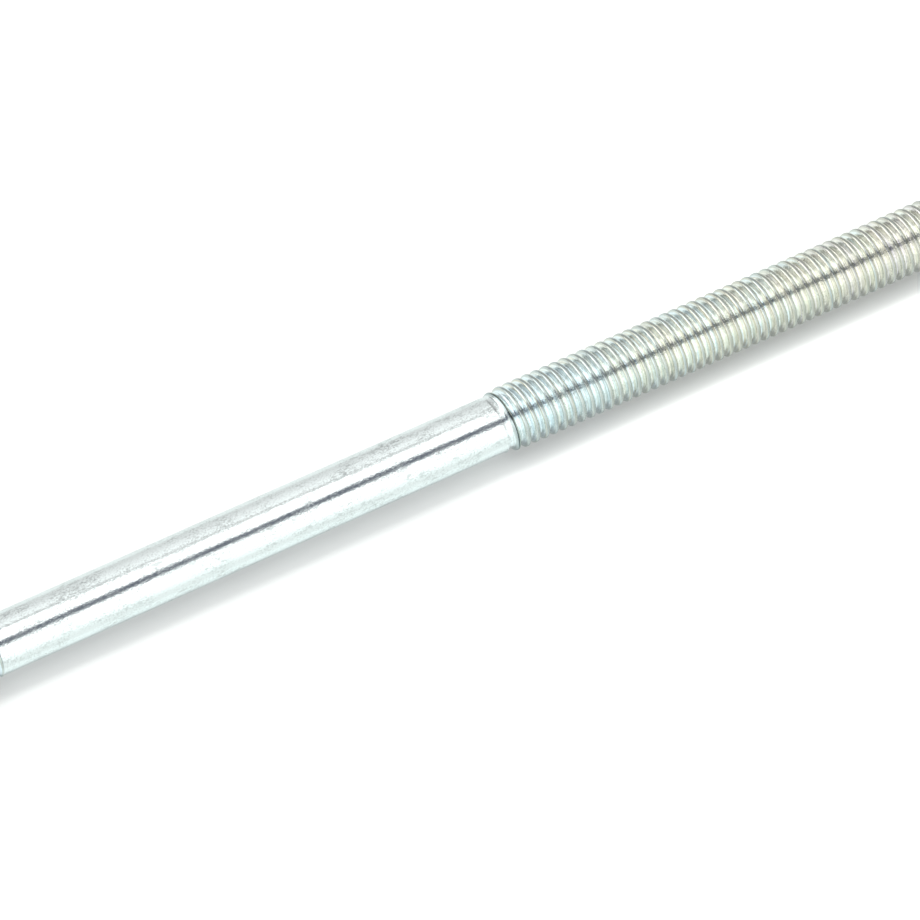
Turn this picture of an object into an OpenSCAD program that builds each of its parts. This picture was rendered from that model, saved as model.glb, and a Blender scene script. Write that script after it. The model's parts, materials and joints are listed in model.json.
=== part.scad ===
// Double-ended male connector bolt, one solid piece of rolled steel.
// It lies along X: a plain shank in the middle and the same right-hand thread
// on both ends, each with a run-out at the shank and a chamfered end face.
// The origin is the middle of the bolt, on its axis.

/* [Threads] */
// Outside diameter over the thread crests
thread_d = 7.8; // [7.4:0.05:9]
// Distance from one crest to the next
thread_pitch = 1.25; // [1:0.05:1.5]
// Length of each threaded end, with its run-out and chamfer
thread_length = 67; // [30:0.5:90]
// Turns over which the thread fades out into the shank
run_out_turns = 1.5; // [1:0.25:4]
// Angle round the axis at which each thread starts
start_angle = 135; // [0:5:355]

/* [Shank] */
// Diameter of the plain shank, which is the blank that the threads are rolled on
shank_d = 6.95; // [6.7:0.05:7.3]
// Length of the plain shank between the two threads
shank_length = 66; // [20:0.5:120]

/* [Ends] */
// Diameter of the flat face at each end
end_face_d = 5.8; // [5:0.1:6.4]
// Length of the chamfer behind each end face
chamfer_length = 1; // [0.5:0.1:2]

/* [Hidden] */

// Thread form, in shares of the pitch: a 60 degree ridge with a flat crest and root
flank_angle = 30;
crest_share = 1 / 8;
root_share = 1 / 6;
flank_share = (1 - crest_share - root_share) / 2;
thread_depth = flank_share * thread_pitch / tan(flank_angle);
crest_r = thread_d / 2;
root_r = crest_r - thread_depth;

// Corners of one ridge along the axis, each as [share of the pitch, height]
ridge = [
  [0, root_r],
  [root_share, root_r],
  [root_share + flank_share, crest_r],
  [root_share + flank_share + crest_share, crest_r]
];
corners = len(ridge);

// The ridge winds on whole turns, and what is left over is shared by both ends of the thread
least_gap = 0.1;
wound_turns = floor(thread_length / thread_pitch - least_gap) - 1;
end_gap = (thread_length - (wound_turns + 1) * thread_pitch) / 2;
last_line = corners * wound_turns;

// Flat sides round one turn: as many as the face budget of both threads allows
face_budget = 11700;
side_step = 2;
turn_sides = side_step * floor(face_budget / (4 * last_line) / side_step);

// How far the first ring of the thread stays inside the shank's edge
seat_step = 0.02;
shank_sides = 96;

shank_r = shank_d / 2;
end_face_r = end_face_d / 2;
run_out_length = run_out_turns * thread_pitch;

// Radius of a corner of given height, at a distance x from the shank
function run_out(x, height) =
  let (share = min(1, x / run_out_length))
  shank_r - seat_step + (height - shank_r + seat_step) * share;
function chamfer_limit(x) =
  end_face_r + (crest_r - end_face_r) * (thread_length - x) / chamfer_length;
function corner_r(x, height) = min(run_out(x, height), chamfer_limit(x));

// Point on a cross-section: x along the axis, then a radius and a side number
function round_point(x, r, side) =
  let (angle = start_angle + 360 * side / turn_sides)
  [x, r * cos(angle), r * sin(angle)];

// Line number "line" follows one corner of the ridge round its turn
function line_point(line, side) =
  let (
    corner = ridge[line % corners],
    turn = floor(line / corners) + side / turn_sides,
    x = end_gap + thread_pitch * (turn + corner[0])
  )
  round_point(x, corner_r(x, corner[1]), side);

function ring(x, r) = [for (side = [0:turn_sides - 1]) round_point(x, r, side)];

// One thread, from its seat on the shank at x = 0 to its end face
module thread() {
  // Points: a ring at the shank, a ring at the end face, then the lines,
  // and a last turn that only side 0 has
  first_ring = 0;
  end_ring = turn_sides;
  first_line = 2 * turn_sides;
  points = concat(
    ring(0, shank_r - seat_step),
    ring(thread_length, end_face_r),
    [for (line = [0:last_line]) for (side = [0:turn_sides - 1]) line_point(line, side)],
    [for (line = [last_line + 1:last_line + corners]) line_point(line, 0)]
  );

  // After the last side a line goes on as the line one turn further
  function at(line, side) =
    side == turn_sides ? at(line + corners, 0)
    : line > last_line ? first_line + turn_sides * (last_line + 1) + line - last_line - 1
    : first_line + line * turn_sides + side;
  function on(ring_start, side) = ring_start + side % turn_sides;
  function quad(a, b, c, d) = [[a, c, b], [a, d, c]];

  winding = [
    for (line = [0:last_line - 1]) for (side = [0:turn_sides - 1])
      each quad(at(line, side), at(line, side + 1), at(line + 1, side + 1), at(line + 1, side))
  ];
  shank_side = [
    for (side = [0:turn_sides - 2])
      each quad(on(first_ring, side), on(first_ring, side + 1), at(0, side + 1), at(0, side))
  ];
  end_side = [
    for (side = [1:turn_sides - 1])
      each quad(at(last_line, side), at(last_line, side + 1), on(end_ring, side + 1), on(end_ring, side))
  ];
  // The lines start and stop on side 0, where a fan of faces meets their ends
  start_tip = at(0, turn_sides - 1);
  start_fan = concat(
    [[start_tip, on(first_ring, 0), on(first_ring, turn_sides - 1)]],
    [[start_tip, at(0, 0), on(first_ring, 0)]],
    [for (line = [0:corners - 1]) [start_tip, at(line + 1, 0), at(line, 0)]]
  );
  stop_tip = at(last_line, 1);
  stop_fan = concat(
    [for (line = [last_line:last_line + corners - 1]) [stop_tip, at(line, 0), at(line + 1, 0)]],
    [[stop_tip, at(last_line + corners, 0), on(end_ring, 0)]],
    [[stop_tip, on(end_ring, 0), on(end_ring, 1)]]
  );
  caps = [
    [for (side = [0:turn_sides - 1]) on(first_ring, side)],
    [for (side = [turn_sides - 1:-1:0]) on(end_ring, side)]
  ];
  polyhedron(points, concat(winding, shank_side, end_side, start_fan, stop_fan, caps));
}

module shank() {
  rotate([0, 90, 0])
    cylinder(h = shank_length, d = shank_d, center = true, $fn = shank_sides);
}

module bolt() {
  color("silver") union() {
    shank();
    for (turn = [0, 180])
      rotate([0, 0, turn]) translate([shank_length / 2, 0, 0]) thread();
  }
}

bolt();
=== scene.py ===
"""Male connector bolt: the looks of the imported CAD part, in metres, in the CAD frame.

One mesh stands for the bolt. It is one helical grid of rows from end face to end face, so that the
thread's lips, flanks and roots follow the helix exactly, with a zinc-plated steel material on it.
"""
import json
import math
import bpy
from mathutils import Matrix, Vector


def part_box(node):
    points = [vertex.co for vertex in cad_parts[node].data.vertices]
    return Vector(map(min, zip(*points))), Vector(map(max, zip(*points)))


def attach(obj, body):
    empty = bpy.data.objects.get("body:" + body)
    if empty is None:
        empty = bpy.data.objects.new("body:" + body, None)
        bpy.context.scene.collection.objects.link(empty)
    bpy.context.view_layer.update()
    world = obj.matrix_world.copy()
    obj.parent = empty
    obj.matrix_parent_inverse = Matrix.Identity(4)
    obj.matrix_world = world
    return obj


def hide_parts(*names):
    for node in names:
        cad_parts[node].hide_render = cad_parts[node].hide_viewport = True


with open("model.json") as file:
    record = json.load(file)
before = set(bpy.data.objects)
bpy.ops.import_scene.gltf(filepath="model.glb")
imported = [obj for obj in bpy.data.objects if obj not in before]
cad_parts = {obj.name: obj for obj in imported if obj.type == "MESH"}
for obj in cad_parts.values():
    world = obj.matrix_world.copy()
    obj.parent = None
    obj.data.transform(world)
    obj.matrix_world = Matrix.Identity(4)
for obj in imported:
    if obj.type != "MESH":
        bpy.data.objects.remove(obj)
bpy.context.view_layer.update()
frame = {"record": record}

from types import SimpleNamespace

import bmesh
import bpy
import numpy as np
from mathutils import Matrix, Vector

MM = 0.001

# ---------------------------------------------------------------------------------------------
# Sizes of the bolt. The frame gives its length, and the thread's length and crest radius.
# ---------------------------------------------------------------------------------------------
thread_mount = next(m for m in frame["record"]["mounts"] if m["name"] == "thread_right")
HALF_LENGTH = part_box("bolt")[1].x
CREST_R = thread_mount["dims"]["r_mm"] * MM
THREAD_START = HALF_LENGTH - thread_mount["dims"]["length_mm"] * MM
PITCH = 1.25 * MM
SHANK_R = 3.475 * MM
END_FACE_R = 2.9 * MM
CHAMFER = 1.0 * MM
RUN_OUT = 1.5 * PITCH
# Where the right thread's crest crosses the +Y side, measured from the thread's start
CREST_AT = 0.636 * MM

# The rolled ridge, from the middle of its crest to the middle of the root. The crest is two
# rounded lips with a shallow seam between them. Each row is: share of the pitch on a full
# thread, share on the first trace of one at the shank, and depth below the crest in mm.
RIDGE = [
    (0.000, 0.00, 0.008),
    (0.060, 0.015, 0.000),
    (0.105, 0.03, 0.014),
    (0.150, 0.05, 0.060),
    (0.200, 0.08, 0.150),
    (0.350, 0.14, 0.475),
    (0.420, 0.20, 0.627),
    (0.460, 0.34, 0.680),
    (0.500, 0.50, 0.695),
]
# Rows of the grid on one pitch, and columns round the bolt
ROWS_PER_TURN = 2 * (len(RIDGE) - 1)
COLUMNS = 50
# How late the seam and how early the rest of the ridge forms along the run-out, as powers
SEAM_LAG = 2.2
LIP_LEAD = 0.75
# How far the right thread's first trace lies toward the shank from the helix, as a share of
# the pitch, and how much later the left thread's ridge rises from the shank
TRACE_EARLY = 0.24
LEFT_LATE = 0.5 * MM
# Turns of the grid along the shank, and how much closer its rows lie beside the threads
SHANK_TURNS = 8
SHANK_EASE = 0.8
# Turns of a thread's grid that lie on the shank before it rises
INNER_TURNS = 3
MERGE_WITHIN = 0.0005 * MM
SHARP_FROM = math.radians(42)
# A point this close to an end counts as on the end face, in mm
FACE_WITHIN = 0.01

# ---------------------------------------------------------------------------------------------
# Finish. Places are in mm, scales of noise are per mm.
# ---------------------------------------------------------------------------------------------
# Noises of the plate: scale, detail and roughness
NOISES = {
    "drawn": (2.4, 3.0, 0.6),
    "tint": (0.9, 2.0, 0.5),
    "grain": (2.8, 2.0, 0.5),
    "fine": (5.2, 2.0, 0.5),
    "patches": (0.5, 3.0, 0.6),
    "marks": (2.6, 4.0, 0.65),
    "specks": (4.6, 3.0, 0.6),
}
RING_NOISE = {"Scale": 4.5, "Detail": 3.0, "Roughness": 0.6}
# How fast the drawn lines and the tints change along X, and each of them along Y
HELIX_ALONG = 0.35
DRAWN_ALONG_Y = 0.12
TINT_ALONG_Y = 0.15
# Patches and marks are twice as long along the bolt as across it
STRETCHED = (0.5, 1, 1)
SHANK_CLEAN = (0.695, 0.75, 0.745)
SHANK_WORN = (0.46, 0.50, 0.495)
# The flanks' tint by noise. The noise drifts toward the ends, from bluer beside the shank to
# warmer, by an amount per mm from a middle place and up to a last one.
FLANK_TINTS = [
    (0.30, (0.79, 0.90, 0.94)), (0.42, (0.81, 0.91, 0.93)), (0.50, (0.85, 0.91, 0.87)),
    (0.57, (0.87, 0.88, 0.78)), (0.66, (0.87, 0.86, 0.78)), (0.76, (0.84, 0.82, 0.84))]
TINT_DRIFT = 0.005
TINT_MIDDLE = 58
TINT_STOP = 84
# Tints across the ridge: from the flank toward the shank, over the crest, to the other flank
RIDGE_TINTS = [
    (0.00, (1.0, 1.0, 1.0)), (0.25, (1.0, 1.0, 1.0)),
    (0.30, (0.72, 0.71, 0.66)), (0.35, (0.68, 0.68, 0.65)), (0.41, (0.46, 0.48, 0.47)),
    (0.53, (0.42, 0.44, 0.43)), (0.60, (0.38, 0.38, 0.31)), (0.65, (0.50, 0.51, 0.46)),
    (0.73, (0.92, 0.92, 0.92)), (1.00, (1.0, 1.0, 1.0))]
DRAWN_LINES = (0.40, 0.43, 0.40)
THREAD_SPECKS = (0.42, 0.44, 0.42)
# Painted shade in the grooves on the underside: below the first height the grooves get darker,
# down to this tint
PAINTED_GROOVE_SHADE = (0.62, 0.62, 0.62)
GROOVE_SHADE_TOP = 0.1
GROOVE_SHADE_FADE = 1.6
# The tints of the thread come in along the run-out this many times as fast as the ridge
TINTS_LEAD = 4
# Roughness of the plain plate, and what each part adds to it
ROUGHNESS = {"plain": 0.09, "grain": 0.08, "worn": 0.12, "thread": 0.04, "crest": 0.06}
# Weights of the relief's parts, and the depth of all of it
RELIEF = {"grain": 1.35, "fine": 1.2, "worn": -0.4, "drawn": 0.7, "rings": 1.7}
RELIEF_DEPTH = 0.018 * MM
RELIEF_STRENGTH = 0.6

# ---------------------------------------------------------------------------------------------
# View and light
# ---------------------------------------------------------------------------------------------
# The camera, fitted to the photo: its turn and height as angles, its distance in metres
CAMERA_TURN = math.radians(30.083)
CAMERA_HEIGHT = math.radians(50.178)
CAMERA_DISTANCE = 1.04799
CAMERA_AIM = Vector((26.805 * MM, -2.675 * MM, 0))
LENS = 353.57
SENSOR = 36

# The studio round the bolt's axis: angle from the front horizon over the top, and brightness
DARK_GAP = (0.168, 0.182, 0.225)
STUDIO = [
    (-90, 0.85),
    (-20, 1.15),
    (-4, 1.85),
    (8, 1.85),
    (42, 1.75),
    (46.7, DARK_GAP),
    (62.4, DARK_GAP),
    (66.8, 1.95),
    (103.5, 1.90),
    (106, 0.34),
    (109.5, 0.34),
    (112.5, 1.48),
    (120, 1.40),
    (128, 1.31),
    (140, 1.17),
    (160, 0.97),
    (180, 0.92),
    (270, 0.85),
]
# How its brightness varies along the bolt, in front and behind: part of the direction along X,
# and share. It is full where the shank shows it, and lower past the far end behind.
FRONT_ALONG = [(-1.0, 1.20), (-0.5, 1.32), (-0.3, 1.02), (0.0, 0.90), (0.15, 1.0), (0.5, 1.0),
               (0.6, 0.85), (0.75, 0.60), (1.0, 0.55)]
BACK_ALONG = [(-1.0, 1.10), (-0.5, 1.30), (-0.42, 1.28), (-0.34, 0.72), (-0.26, 0.38),
              (0.12, 0.38), (0.23, 1.0), (0.38, 1.0), (0.5, 0.55), (0.7, 0.36), (1.0, 0.32)]
# The front's variation gives way to the back's between these angles
BACK_FROM = 100
BACK_TO = 118
# Straight along the bolt, from this part of the direction on, it fades to one level
END_FROM = 0.93
END_LEVEL = 0.85
# The dark gap overhead is about this angle. Toward the -X end it is wider, by a share, and
# shifted, by an angle, both in full from a part of the direction on.
GAP_AT = 54
GAP_WIDER = 1.15
GAP_SHIFT = 6
GAP_FULL_FROM = -0.5
# The lamp that throws the shadow: angle like the studio's, size as an angle, strength
LAMP_ANGLE = 107
LAMP_SIZE = 16
LAMP_STRENGTH = 1.8
# Paper and its glow along the shank and in all reflections, and along the right thread, where a
# paler paper with less glow paints the shadow deeper. It changes between these mm along the bolt.
PAPER = (0.465, 0.48, 0.47)
PAPER_GLOW = 0.30
PAPER_RIGHT = (0.74, 0.76, 0.74)
PAPER_GLOW_RIGHT = 0.13
PAPER_SHADE_CHANGES = (22, 58)
# Painted reflection: more glow on the paper that only reflections see, by mm in front of the
# bolt's axis, and strength
PAPER_PAINTED_REFLECTION = [(0, 0.0), (3, 0.08), (3.7, 0.50), (5.0, 0.36), (7, 0.08), (10, 0.05),
                  (14, 0.16), (20, 0.30), (34, 0.44), (80, 0.50)]
# Tint of the paper's glow as seen in reflections, a painted reflection colour
PAINTED_REFLECTION_TINT = (0.93, 1.0, 1.0)
# Half the width of the paper, in metres
FLOOR_HALF = 1.5


# ---------------------------------------------------------------------------------------------
# Mesh of the bolt
# ---------------------------------------------------------------------------------------------
def ridge_rows():
    """One pitch of the ridge, from one root to just before the next, as four arrays."""
    half = np.array(RIDGE)
    before = half[:0:-1] * (-1, -1, 1)
    rows = np.vstack([before, half[:-1]])
    full, trace, depth = rows.T
    growth = np.where(full == 0, SEAM_LAG, LIP_LEAD)
    return full, trace, CREST_R - depth * MM, growth


def thread_grid(first_crest, turns):
    """x and radius of a thread's grid points as [row, column], for crests that cross the +Y
    side one pitch apart from first_crest on."""
    full, trace, radius, growth = (values[None, :, None] for values in ridge_rows())
    turn = np.arange(COLUMNS + 1)[None, None, :] / COLUMNS
    crest = first_crest + PITCH * (np.arange(turns)[:, None, None] + turn)
    start = np.where(crest < 0, THREAD_START + LEFT_LATE, THREAD_START)
    formed = np.clip((np.abs(crest + PITCH * full) - start) / RUN_OUT, 0, 1)
    early = np.where(crest < 0, 0, TRACE_EARLY)
    share = trace + (full - trace) * formed - early * (1 - formed)
    x = crest + PITCH * share
    r = SHANK_R + (radius - SHANK_R) * formed ** growth
    return x.reshape(-1, COLUMNS + 1), r.reshape(-1, COLUMNS + 1)


def bolt_grid():
    """x and radius of all grid points as [row, column]. The last column of a row is the first
    column of the row one turn on."""
    turns = INNER_TURNS + int((HALF_LENGTH - THREAD_START) / PITCH) + 2
    right_crest = THREAD_START + CREST_AT - INNER_TURNS * PITCH
    # Turned end for end, the same thread has its crests half a pitch from the mirrored places
    left_crest = -right_crest - PITCH / 2 - (turns - 1) * PITCH
    left_x, left_r = thread_grid(left_crest, turns)
    right_x, right_r = thread_grid(right_crest, turns)

    count = SHANK_TURNS * ROWS_PER_TURN
    u = np.arange(1, count) / count
    eased = u - SHANK_EASE * np.sin(2 * math.pi * u) / (2 * math.pi)
    start, stop = left_x[-1, 0], right_x[0, 0]
    shank = np.tile((start + (stop - start) * eased)[:, None], (1, COLUMNS + 1))
    shank_r = np.full(shank.shape, SHANK_R)

    x = np.vstack([left_x, shank, right_x])
    r = np.vstack([left_r, shank_r, right_r])
    # Rows that start or end on the shank run straight to the row one turn on
    turn = np.arange(COLUMNS + 1) / COLUMNS
    for row in range(len(left_x) - ROWS_PER_TURN, len(x) - len(right_x)):
        x[row] = x[row, 0] + (x[row + ROWS_PER_TURN, 0] - x[row, 0]) * turn
    # Everything past an end face lies on its rim
    x = np.clip(x, -HALF_LENGTH, HALF_LENGTH)
    cone = END_FACE_R + (CREST_R - END_FACE_R) * (HALF_LENGTH - np.abs(x)) / CHAMFER
    return x, np.minimum(r, cone)


def bolt_mesh():
    x, r = bolt_grid()
    rows = len(x)
    angle = 2 * math.pi * np.arange(COLUMNS) / COLUMNS
    y = r[:, :COLUMNS] * np.cos(angle)
    z = r[:, :COLUMNS] * np.sin(angle)
    points = np.stack([x[:, :COLUMNS], y, z], axis=-1).reshape(-1, 3)

    def at(row, column):
        return (row + ROWS_PER_TURN) * COLUMNS if column == COLUMNS else row * COLUMNS + column

    faces = [
        (at(row, column), at(row, column + 1), at(row + 1, column + 1), at(row + 1, column))
        for row in range(rows - 1 - ROWS_PER_TURN)
        for column in range(COLUMNS)
    ]
    mesh = bpy.data.meshes.new("bolt_steel")
    mesh.from_pydata(points.tolist(), [], faces)
    form = bmesh.new()
    form.from_mesh(mesh)
    bmesh.ops.remove_doubles(form, verts=form.verts, dist=MERGE_WITHIN)
    loose = [v for v in form.verts if not v.link_faces]
    bmesh.ops.delete(form, geom=loose, context="VERTS")
    close_ends(form)
    bmesh.ops.recalc_face_normals(form, faces=form.faces)
    form.to_mesh(mesh)
    form.free()
    mesh.validate()
    mesh.shade_smooth()
    mesh.set_sharp_from_angle(angle=SHARP_FROM)
    return mesh


def close_ends(form):
    """Each end face is one flat face."""
    open_edges = [e for e in form.edges if e.is_boundary]
    for side in (-1, 1):
        rim = [e for e in open_edges if e.verts[0].co.x * side > 0]
        bmesh.ops.edgeloop_fill(form, edges=rim)


# ---------------------------------------------------------------------------------------------
# Nodes
# ---------------------------------------------------------------------------------------------
def node(tree, kind, settings=None, **inputs):
    """Adds a node, sets its settings, and sets or links its inputs by name or number."""
    made = tree.nodes.new(kind)
    for name, value in (settings or {}).items():
        setattr(made, name, value)
    for name, value in inputs.items():
        key = int(name[1:]) if name[0] == "i" and name[1:].isdigit() else name.replace("_", " ")
        socket = made.inputs[key]
        if isinstance(value, bpy.types.NodeSocket):
            tree.links.new(value, socket)
        else:
            socket.default_value = value
    return made


def maths(tree, operation, *values, clamp=False):
    made = node(tree, "ShaderNodeMath", {"operation": operation, "use_clamp": clamp},
                **{f"i{i}": value for i, value in enumerate(values)})
    return made.outputs[0]


def ramp(tree, factor, stops):
    """A colour ramp from stops of (position, colour), a colour being a number or three."""
    made = node(tree, "ShaderNodeValToRGB", None, Fac=factor)
    elements = made.color_ramp.elements
    while len(elements) > 1:
        elements.remove(elements[-1])
    for index, (position, colour) in enumerate(stops):
        element = elements[0] if index == 0 else elements.new(position)
        element.position = position
        rgb = colour if isinstance(colour, tuple) else (colour,) * 3
        element.color = (*rgb, 1)
    return made.outputs["Color"]


def mixed(tree, factor, a, b, blend="MIX"):
    made = node(tree, "ShaderNodeMix", {"data_type": "RGBA", "blend_type": blend})
    for socket, value in ((made.inputs[0], factor), (made.inputs[6], a), (made.inputs[7], b)):
        if isinstance(value, bpy.types.NodeSocket):
            tree.links.new(value, socket)
        elif isinstance(value, tuple):
            socket.default_value = (*value, 1)
        else:
            socket.default_value = value
    return made.outputs[2]


def noise(tree, name, vector, w=None):
    scale, detail, roughness = NOISES[name]
    settings = {"noise_dimensions": "3D" if w is None else "4D"}
    inputs = {"Vector": vector, "Scale": scale, "Detail": detail, "Roughness": roughness}
    if w is not None:
        inputs["W"] = w
    return node(tree, "ShaderNodeTexNoise", settings, **inputs).outputs["Fac"]


# ---------------------------------------------------------------------------------------------
# Materials
# ---------------------------------------------------------------------------------------------
def weighted(tree, start, *parts):
    """A start value plus each part times its weight."""
    total = start
    for part, weight in parts:
        total = maths(tree, "ADD", total, maths(tree, "MULTIPLY", part, weight))
    return total


def thread_phase(tree, x, y, z):
    """Share of the pitch past the crest, at any point of either thread."""
    side = maths(tree, "SIGN", x)
    turn = maths(tree, "DIVIDE", maths(tree, "ARCTAN2", z, maths(tree, "MULTIPLY", y, side)),
                 2 * math.pi)
    along = maths(tree, "SUBTRACT", maths(tree, "ABSOLUTE", x), THREAD_START / MM + CREST_AT / MM)
    return maths(tree, "SUBTRACT", maths(tree, "DIVIDE", along, PITCH / MM), turn)


def places(tree):
    """Where a point of the bolt lies: its place in mm, how far the thread has formed there, and
    its place round the helix (phase) and across the ridge (0 and 1 are roots, 0.5 the crest)."""
    place = node(tree, "ShaderNodeTexCoord").outputs["Object"]
    mm = node(tree, "ShaderNodeVectorMath", {"operation": "SCALE"}, i0=place, Scale=1 / MM)
    mm = mm.outputs[0]
    x, y, z = node(tree, "ShaderNodeSeparateXYZ", None, Vector=mm).outputs
    length = maths(tree, "ABSOLUTE", x)
    left = maths(tree, "LESS_THAN", x, 0)
    distance = maths(tree, "SUBTRACT", maths(tree, "SUBTRACT", length, THREAD_START / MM),
                     maths(tree, "MULTIPLY", left, LEFT_LATE / MM))
    on_face = maths(tree, "GREATER_THAN", length, HALF_LENGTH / MM - FACE_WITHIN)
    threaded = maths(tree, "DIVIDE", distance, RUN_OUT / MM, clamp=True)
    threaded = maths(tree, "MULTIPLY", threaded, maths(tree, "SUBTRACT", 1, on_face))
    turns = thread_phase(tree, x, y, z)
    early = maths(tree, "MULTIPLY", maths(tree, "SUBTRACT", 1, threaded), TRACE_EARLY)
    early = maths(tree, "MULTIPLY", early, maths(tree, "SUBTRACT", 1, left))
    across = maths(tree, "WRAP", maths(tree, "ADD", turns, early), 0.5, -0.5)
    across = maths(tree, "ADD", across, 0.5)
    phase = maths(tree, "MULTIPLY", turns, 2 * math.pi)
    return SimpleNamespace(mm=mm, x=x, y=y, z=z, length=length, on_face=on_face,
                           threaded=threaded, phase=phase, across=across)


def plating(tree, at):
    """Noises of the zinc plate."""
    # Lines drawn along the helix: noise on a circle that is one pitch round
    ring = node(tree, "ShaderNodeCombineXYZ", None,
                X=maths(tree, "COSINE", at.phase), Y=maths(tree, "SINE", at.phase),
                Z=maths(tree, "MULTIPLY", at.x, HELIX_ALONG)).outputs[0]
    drawn = noise(tree, "drawn", ring, w=maths(tree, "MULTIPLY", at.y, DRAWN_ALONG_Y))
    tint = noise(tree, "tint", ring, w=maths(tree, "MULTIPLY", at.y, TINT_ALONG_Y))
    # Grain, mottling and pits
    grain = noise(tree, "grain", at.mm)
    fine = noise(tree, "fine", at.mm)
    stretched = node(tree, "ShaderNodeMapping", None, Vector=at.mm, Scale=STRETCHED).outputs[0]
    patches = noise(tree, "patches", stretched)
    marks = noise(tree, "marks", stretched)
    specks = noise(tree, "specks", at.mm)
    dull = maths(tree, "MULTIPLY", ramp(tree, patches, [(0.45, 0.0), (0.62, 1.0)]),
                 ramp(tree, marks, [(0.50, 0.0), (0.60, 1.0)]))
    speck = maths(tree, "MULTIPLY", ramp(tree, specks, [(0.50, 0.0), (0.66, 0.9)]),
                  ramp(tree, patches, [(0.38, 0.25), (0.55, 1.0)]))
    # Fine rings on the end faces
    radius = maths(tree, "SQRT", maths(tree, "ADD", maths(tree, "MULTIPLY", at.y, at.y),
                                       maths(tree, "MULTIPLY", at.z, at.z)))
    rings = node(tree, "ShaderNodeTexNoise", {"noise_dimensions": "1D"}, W=radius,
                 **RING_NOISE).outputs["Fac"]
    return SimpleNamespace(drawn=drawn, tint=tint, grain=grain, fine=fine, speck=speck,
                           rings=rings, worn=maths(tree, "MAXIMUM", dull, speck))


def zinc_colour(tree, at, plate):
    shank = mixed(tree, plate.worn, SHANK_CLEAN, SHANK_WORN)
    drift = maths(tree, "MINIMUM", at.length, TINT_STOP)
    drift = maths(tree, "MULTIPLY", maths(tree, "SUBTRACT", drift, TINT_MIDDLE), TINT_DRIFT)
    flank = ramp(tree, maths(tree, "ADD", plate.tint, drift), FLANK_TINTS)
    thread = mixed(tree, 1.0, flank, ramp(tree, at.across, RIDGE_TINTS), "MULTIPLY")
    lines = ramp(tree, plate.drawn, [(0.36, 0.50), (0.53, 0.0)])
    thread = mixed(tree, lines, thread, DRAWN_LINES)
    thread = mixed(tree, maths(tree, "MULTIPLY", plate.speck, 0.5), thread, THREAD_SPECKS)
    # Painted shade: the grooves low on the bolt are darkened in colour, as if in the shade under
    # it
    groove_shade_mask = ramp(tree, at.across, [(0.28, 1.0), (0.40, 0.0), (0.60, 0.0), (0.72, 1.0)])
    low = maths(tree, "DIVIDE", maths(tree, "SUBTRACT", GROOVE_SHADE_TOP, at.z), GROOVE_SHADE_FADE, clamp=True)
    thread = mixed(tree, maths(tree, "MULTIPLY", groove_shade_mask, low), thread, PAINTED_GROOVE_SHADE, "MULTIPLY")
    traced = maths(tree, "MULTIPLY", at.threaded, TINTS_LEAD, clamp=True)
    return mixed(tree, traced, shank, thread)


def zinc_roughness(tree, at, plate):
    crest = ramp(tree, at.across, [(0.38, 0.0), (0.44, 1.0), (0.60, 1.0), (0.66, 0.0)])
    thread = weighted(tree, ROUGHNESS["thread"], (crest, ROUGHNESS["crest"]))
    return weighted(tree, ROUGHNESS["plain"], (plate.grain, ROUGHNESS["grain"]),
                    (plate.worn, ROUGHNESS["worn"]), (thread, at.threaded))


def zinc_relief(tree, at, plate):
    drawn = maths(tree, "MULTIPLY", plate.drawn, at.threaded)
    rings = maths(tree, "MULTIPLY", plate.rings, at.on_face)
    height = weighted(tree, 0.0, (plate.grain, RELIEF["grain"]),
                      (plate.fine, RELIEF["fine"]), (plate.worn, RELIEF["worn"]),
                      (drawn, RELIEF["drawn"]), (rings, RELIEF["rings"]))
    return node(tree, "ShaderNodeBump", None, Strength=RELIEF_STRENGTH, Distance=RELIEF_DEPTH,
                Height=height).outputs[0]


def zinc():
    """Bright zinc plate: mottled and pitted on the shank, drawn along the helix on the thread,
    with painted shade in the grooves low down.
    """
    material = bpy.data.materials.new("zinc_plated_steel")
    material.use_nodes = True
    tree = material.node_tree
    tree.nodes.clear()
    at = places(tree)
    plate = plating(tree, at)
    shader = node(tree, "ShaderNodeBsdfPrincipled", None, Metallic=1.0,
                  Base_Color=zinc_colour(tree, at, plate),
                  Roughness=zinc_roughness(tree, at, plate),
                  Normal=zinc_relief(tree, at, plate))
    node(tree, "ShaderNodeOutputMaterial", None, Surface=shader.outputs[0])
    return material


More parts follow.
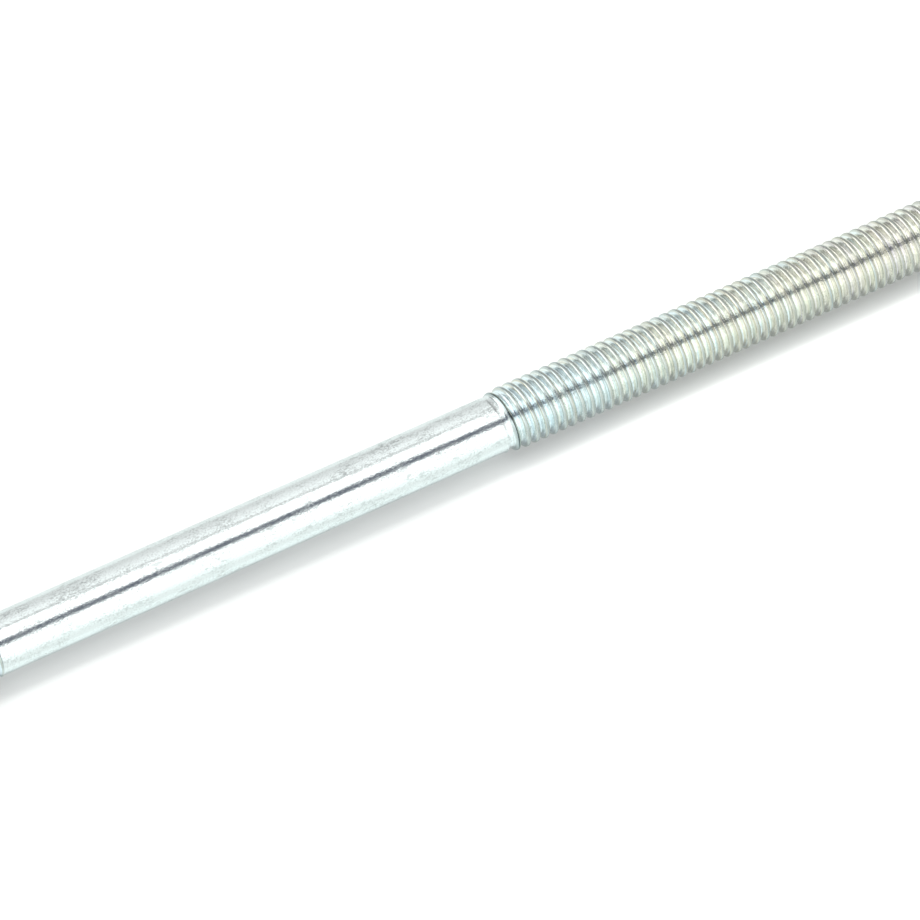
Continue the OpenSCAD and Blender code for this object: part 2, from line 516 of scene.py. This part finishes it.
def paper():
    """White paper that keeps the shadow, and glows for the camera and in reflections, there by its
    distance in front of the bolt as a painted reflection. Along the right thread it is paler and
    glows less, which paints its shadow deeper."""
    material = bpy.data.materials.new("white_paper")
    material.use_nodes = True
    tree = material.node_tree
    tree.nodes.clear()
    place = node(tree, "ShaderNodeTexCoord").outputs["Object"]
    axes = node(tree, "ShaderNodeSeparateXYZ", None, Vector=place)
    reach = max(distance for distance, _ in PAPER_PAINTED_REFLECTION)
    share = maths(tree, "DIVIDE", maths(tree, "MULTIPLY", axes.outputs[1], -1 / MM), reach)
    mirrored = ramp(tree, share, [(distance / reach, glow) for distance, glow in PAPER_PAINTED_REFLECTION])
    # Painted shadow: along the right thread the paper is paler and glows less, which deepens its
    # shadow there
    start, stop = PAPER_SHADE_CHANGES
    along = maths(tree, "MULTIPLY", axes.outputs[0], 1 / MM)
    right = maths(tree, "DIVIDE", maths(tree, "SUBTRACT", along, start), stop - start, clamp=True)
    seen = node(tree, "ShaderNodeLightPath").outputs
    right = maths(tree, "MULTIPLY", right, maths(tree, "SUBTRACT", 1, seen["Is Glossy Ray"]))
    lit = maths(tree, "MULTIPLY_ADD", right, PAPER_GLOW_RIGHT - PAPER_GLOW, PAPER_GLOW)
    direct = maths(tree, "MAXIMUM", seen["Is Camera Ray"], seen["Is Glossy Ray"])
    strength = maths(tree, "ADD", maths(tree, "MULTIPLY", direct, lit),
                     maths(tree, "MULTIPLY", seen["Is Glossy Ray"], mirrored))
    diffuse = node(tree, "ShaderNodeBsdfDiffuse", None,
                   Color=mixed(tree, right, PAPER, PAPER_RIGHT))
    tint = mixed(tree, seen["Is Glossy Ray"], (1, 1, 1), PAINTED_REFLECTION_TINT)
    glow = node(tree, "ShaderNodeEmission", None, Color=tint, Strength=strength)
    both = node(tree, "ShaderNodeAddShader", None, i0=diffuse.outputs[0], i1=glow.outputs[0])
    node(tree, "ShaderNodeOutputMaterial", None, Surface=both.outputs[0])
    return material


# ---------------------------------------------------------------------------------------------
# Studio
# ---------------------------------------------------------------------------------------------
def make_world():
    world = bpy.data.worlds.new("studio")
    bpy.context.scene.world = world
    world.use_nodes = True
    tree = world.node_tree
    tree.nodes.clear()
    way = node(tree, "ShaderNodeTexCoord").outputs["Generated"]
    axes = node(tree, "ShaderNodeSeparateXYZ", None, Vector=way)
    along = axes.outputs[0]
    angle = maths(tree, "ARCTAN2", axes.outputs[2], maths(tree, "MULTIPLY", axes.outputs[1], -1))
    low, high = STUDIO[0][0], STUDIO[-1][0]
    degrees = maths(tree, "WRAP", maths(tree, "MULTIPLY", angle, 180 / math.pi), high, low)
    change = maths(tree, "MULTIPLY", along, 1 / GAP_FULL_FROM, clamp=True)
    gap_at = maths(tree, "ADD", maths(tree, "MULTIPLY", change, GAP_SHIFT), GAP_AT)
    past_gap = maths(tree, "DIVIDE", maths(tree, "SUBTRACT", degrees, gap_at),
                     maths(tree, "ADD", maths(tree, "MULTIPLY", change, GAP_WIDER), 1))
    degrees = maths(tree, "ADD", past_gap, GAP_AT)
    share = maths(tree, "DIVIDE", maths(tree, "SUBTRACT", degrees, low), high - low)
    levels = [level if isinstance(level, tuple) else (level,) * 3 for _, level in STUDIO]
    top = max(max(level) for level in levels)
    stops = [((a - low) / (high - low), tuple(c / top for c in level))
             for (a, _), level in zip(STUDIO, levels)]
    end_share = maths(tree, "MULTIPLY", maths(tree, "ADD", along, 1), 0.5)
    end_top = max(level for _, level in FRONT_ALONG)
    front, back = (ramp(tree, end_share, [((a + 1) / 2, level / end_top) for a, level in table])
                   for table in (FRONT_ALONG, BACK_ALONG))
    behind = ramp(tree, share, [((BACK_FROM - low) / (high - low), 0.0),
                                ((BACK_TO - low) / (high - low), 1.0)])
    colour = mixed(tree, 1.0, ramp(tree, share, stops), mixed(tree, behind, front, back),
                   "MULTIPLY")
    end_part = ramp(tree, maths(tree, "ABSOLUTE", along), [(END_FROM, 0.0), (1.0, 1.0)])
    colour = mixed(tree, end_part, colour, (END_LEVEL / (top * end_top),) * 3)
    light = node(tree, "ShaderNodeBackground", None, Color=colour, Strength=top * end_top)
    white = node(tree, "ShaderNodeBackground", None, Color=(1, 1, 1, 1), Strength=1.0)
    seen = node(tree, "ShaderNodeLightPath").outputs["Is Camera Ray"]
    either = node(tree, "ShaderNodeMixShader", None, i0=seen, i1=light.outputs[0],
                  i2=white.outputs[0])
    node(tree, "ShaderNodeOutputWorld", None, Surface=either.outputs[0])


def make_lamp():
    """The lamp behind and above, which throws the shadow forward and stays out of the metal."""
    data = bpy.data.lights.new("lamp", "SUN")
    data.energy = LAMP_STRENGTH
    data.angle = math.radians(LAMP_SIZE)
    lamp = bpy.data.objects.new("lamp", data)
    lamp.rotation_euler = (math.radians(90 - LAMP_ANGLE), 0, 0)
    lamp.visible_glossy = False
    bpy.context.scene.collection.objects.link(lamp)


def make_camera():
    data = bpy.data.cameras.new("camera")
    data.sensor_width = SENSOR
    data.lens = LENS
    data.clip_start = 0.01
    camera = bpy.data.objects.new("camera", data)
    bpy.context.scene.collection.objects.link(camera)
    right = Vector((math.cos(CAMERA_TURN), -math.sin(CAMERA_TURN), 0))
    forward = Vector((math.sin(CAMERA_TURN) * math.cos(CAMERA_HEIGHT),
                      math.cos(CAMERA_TURN) * math.cos(CAMERA_HEIGHT),
                      -math.sin(CAMERA_HEIGHT)))
    up = right.cross(forward)
    turn = Matrix((right, up, -forward)).transposed().to_4x4()
    camera.matrix_world = Matrix.Translation(CAMERA_AIM - forward * CAMERA_DISTANCE) @ turn
    bpy.context.scene.camera = camera


def make_floor():
    mesh = bpy.data.meshes.new("floor")
    corners = [(-1, -1), (1, -1), (1, 1), (-1, 1)]
    mesh.from_pydata([(a * FLOOR_HALF, b * FLOOR_HALF, -CREST_R) for a, b in corners], [],
                     [(0, 1, 2, 3)])
    floor = bpy.data.objects.new("floor", mesh)
    bpy.context.scene.collection.objects.link(floor)
    mesh.materials.append(paper())


def make_bolt():
    bolt = bpy.data.objects.new("bolt_steel", bolt_mesh())
    bpy.context.scene.collection.objects.link(bolt)
    bolt.data.materials.append(zinc())
    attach(bolt, "root")
    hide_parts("bolt")
    print("bolt triangles", sum(len(p.vertices) - 2 for p in bolt.data.polygons))


make_camera()
make_world()
make_lamp()
make_floor()
make_bolt()
bpy.context.scene.view_settings.view_transform = "Standard"
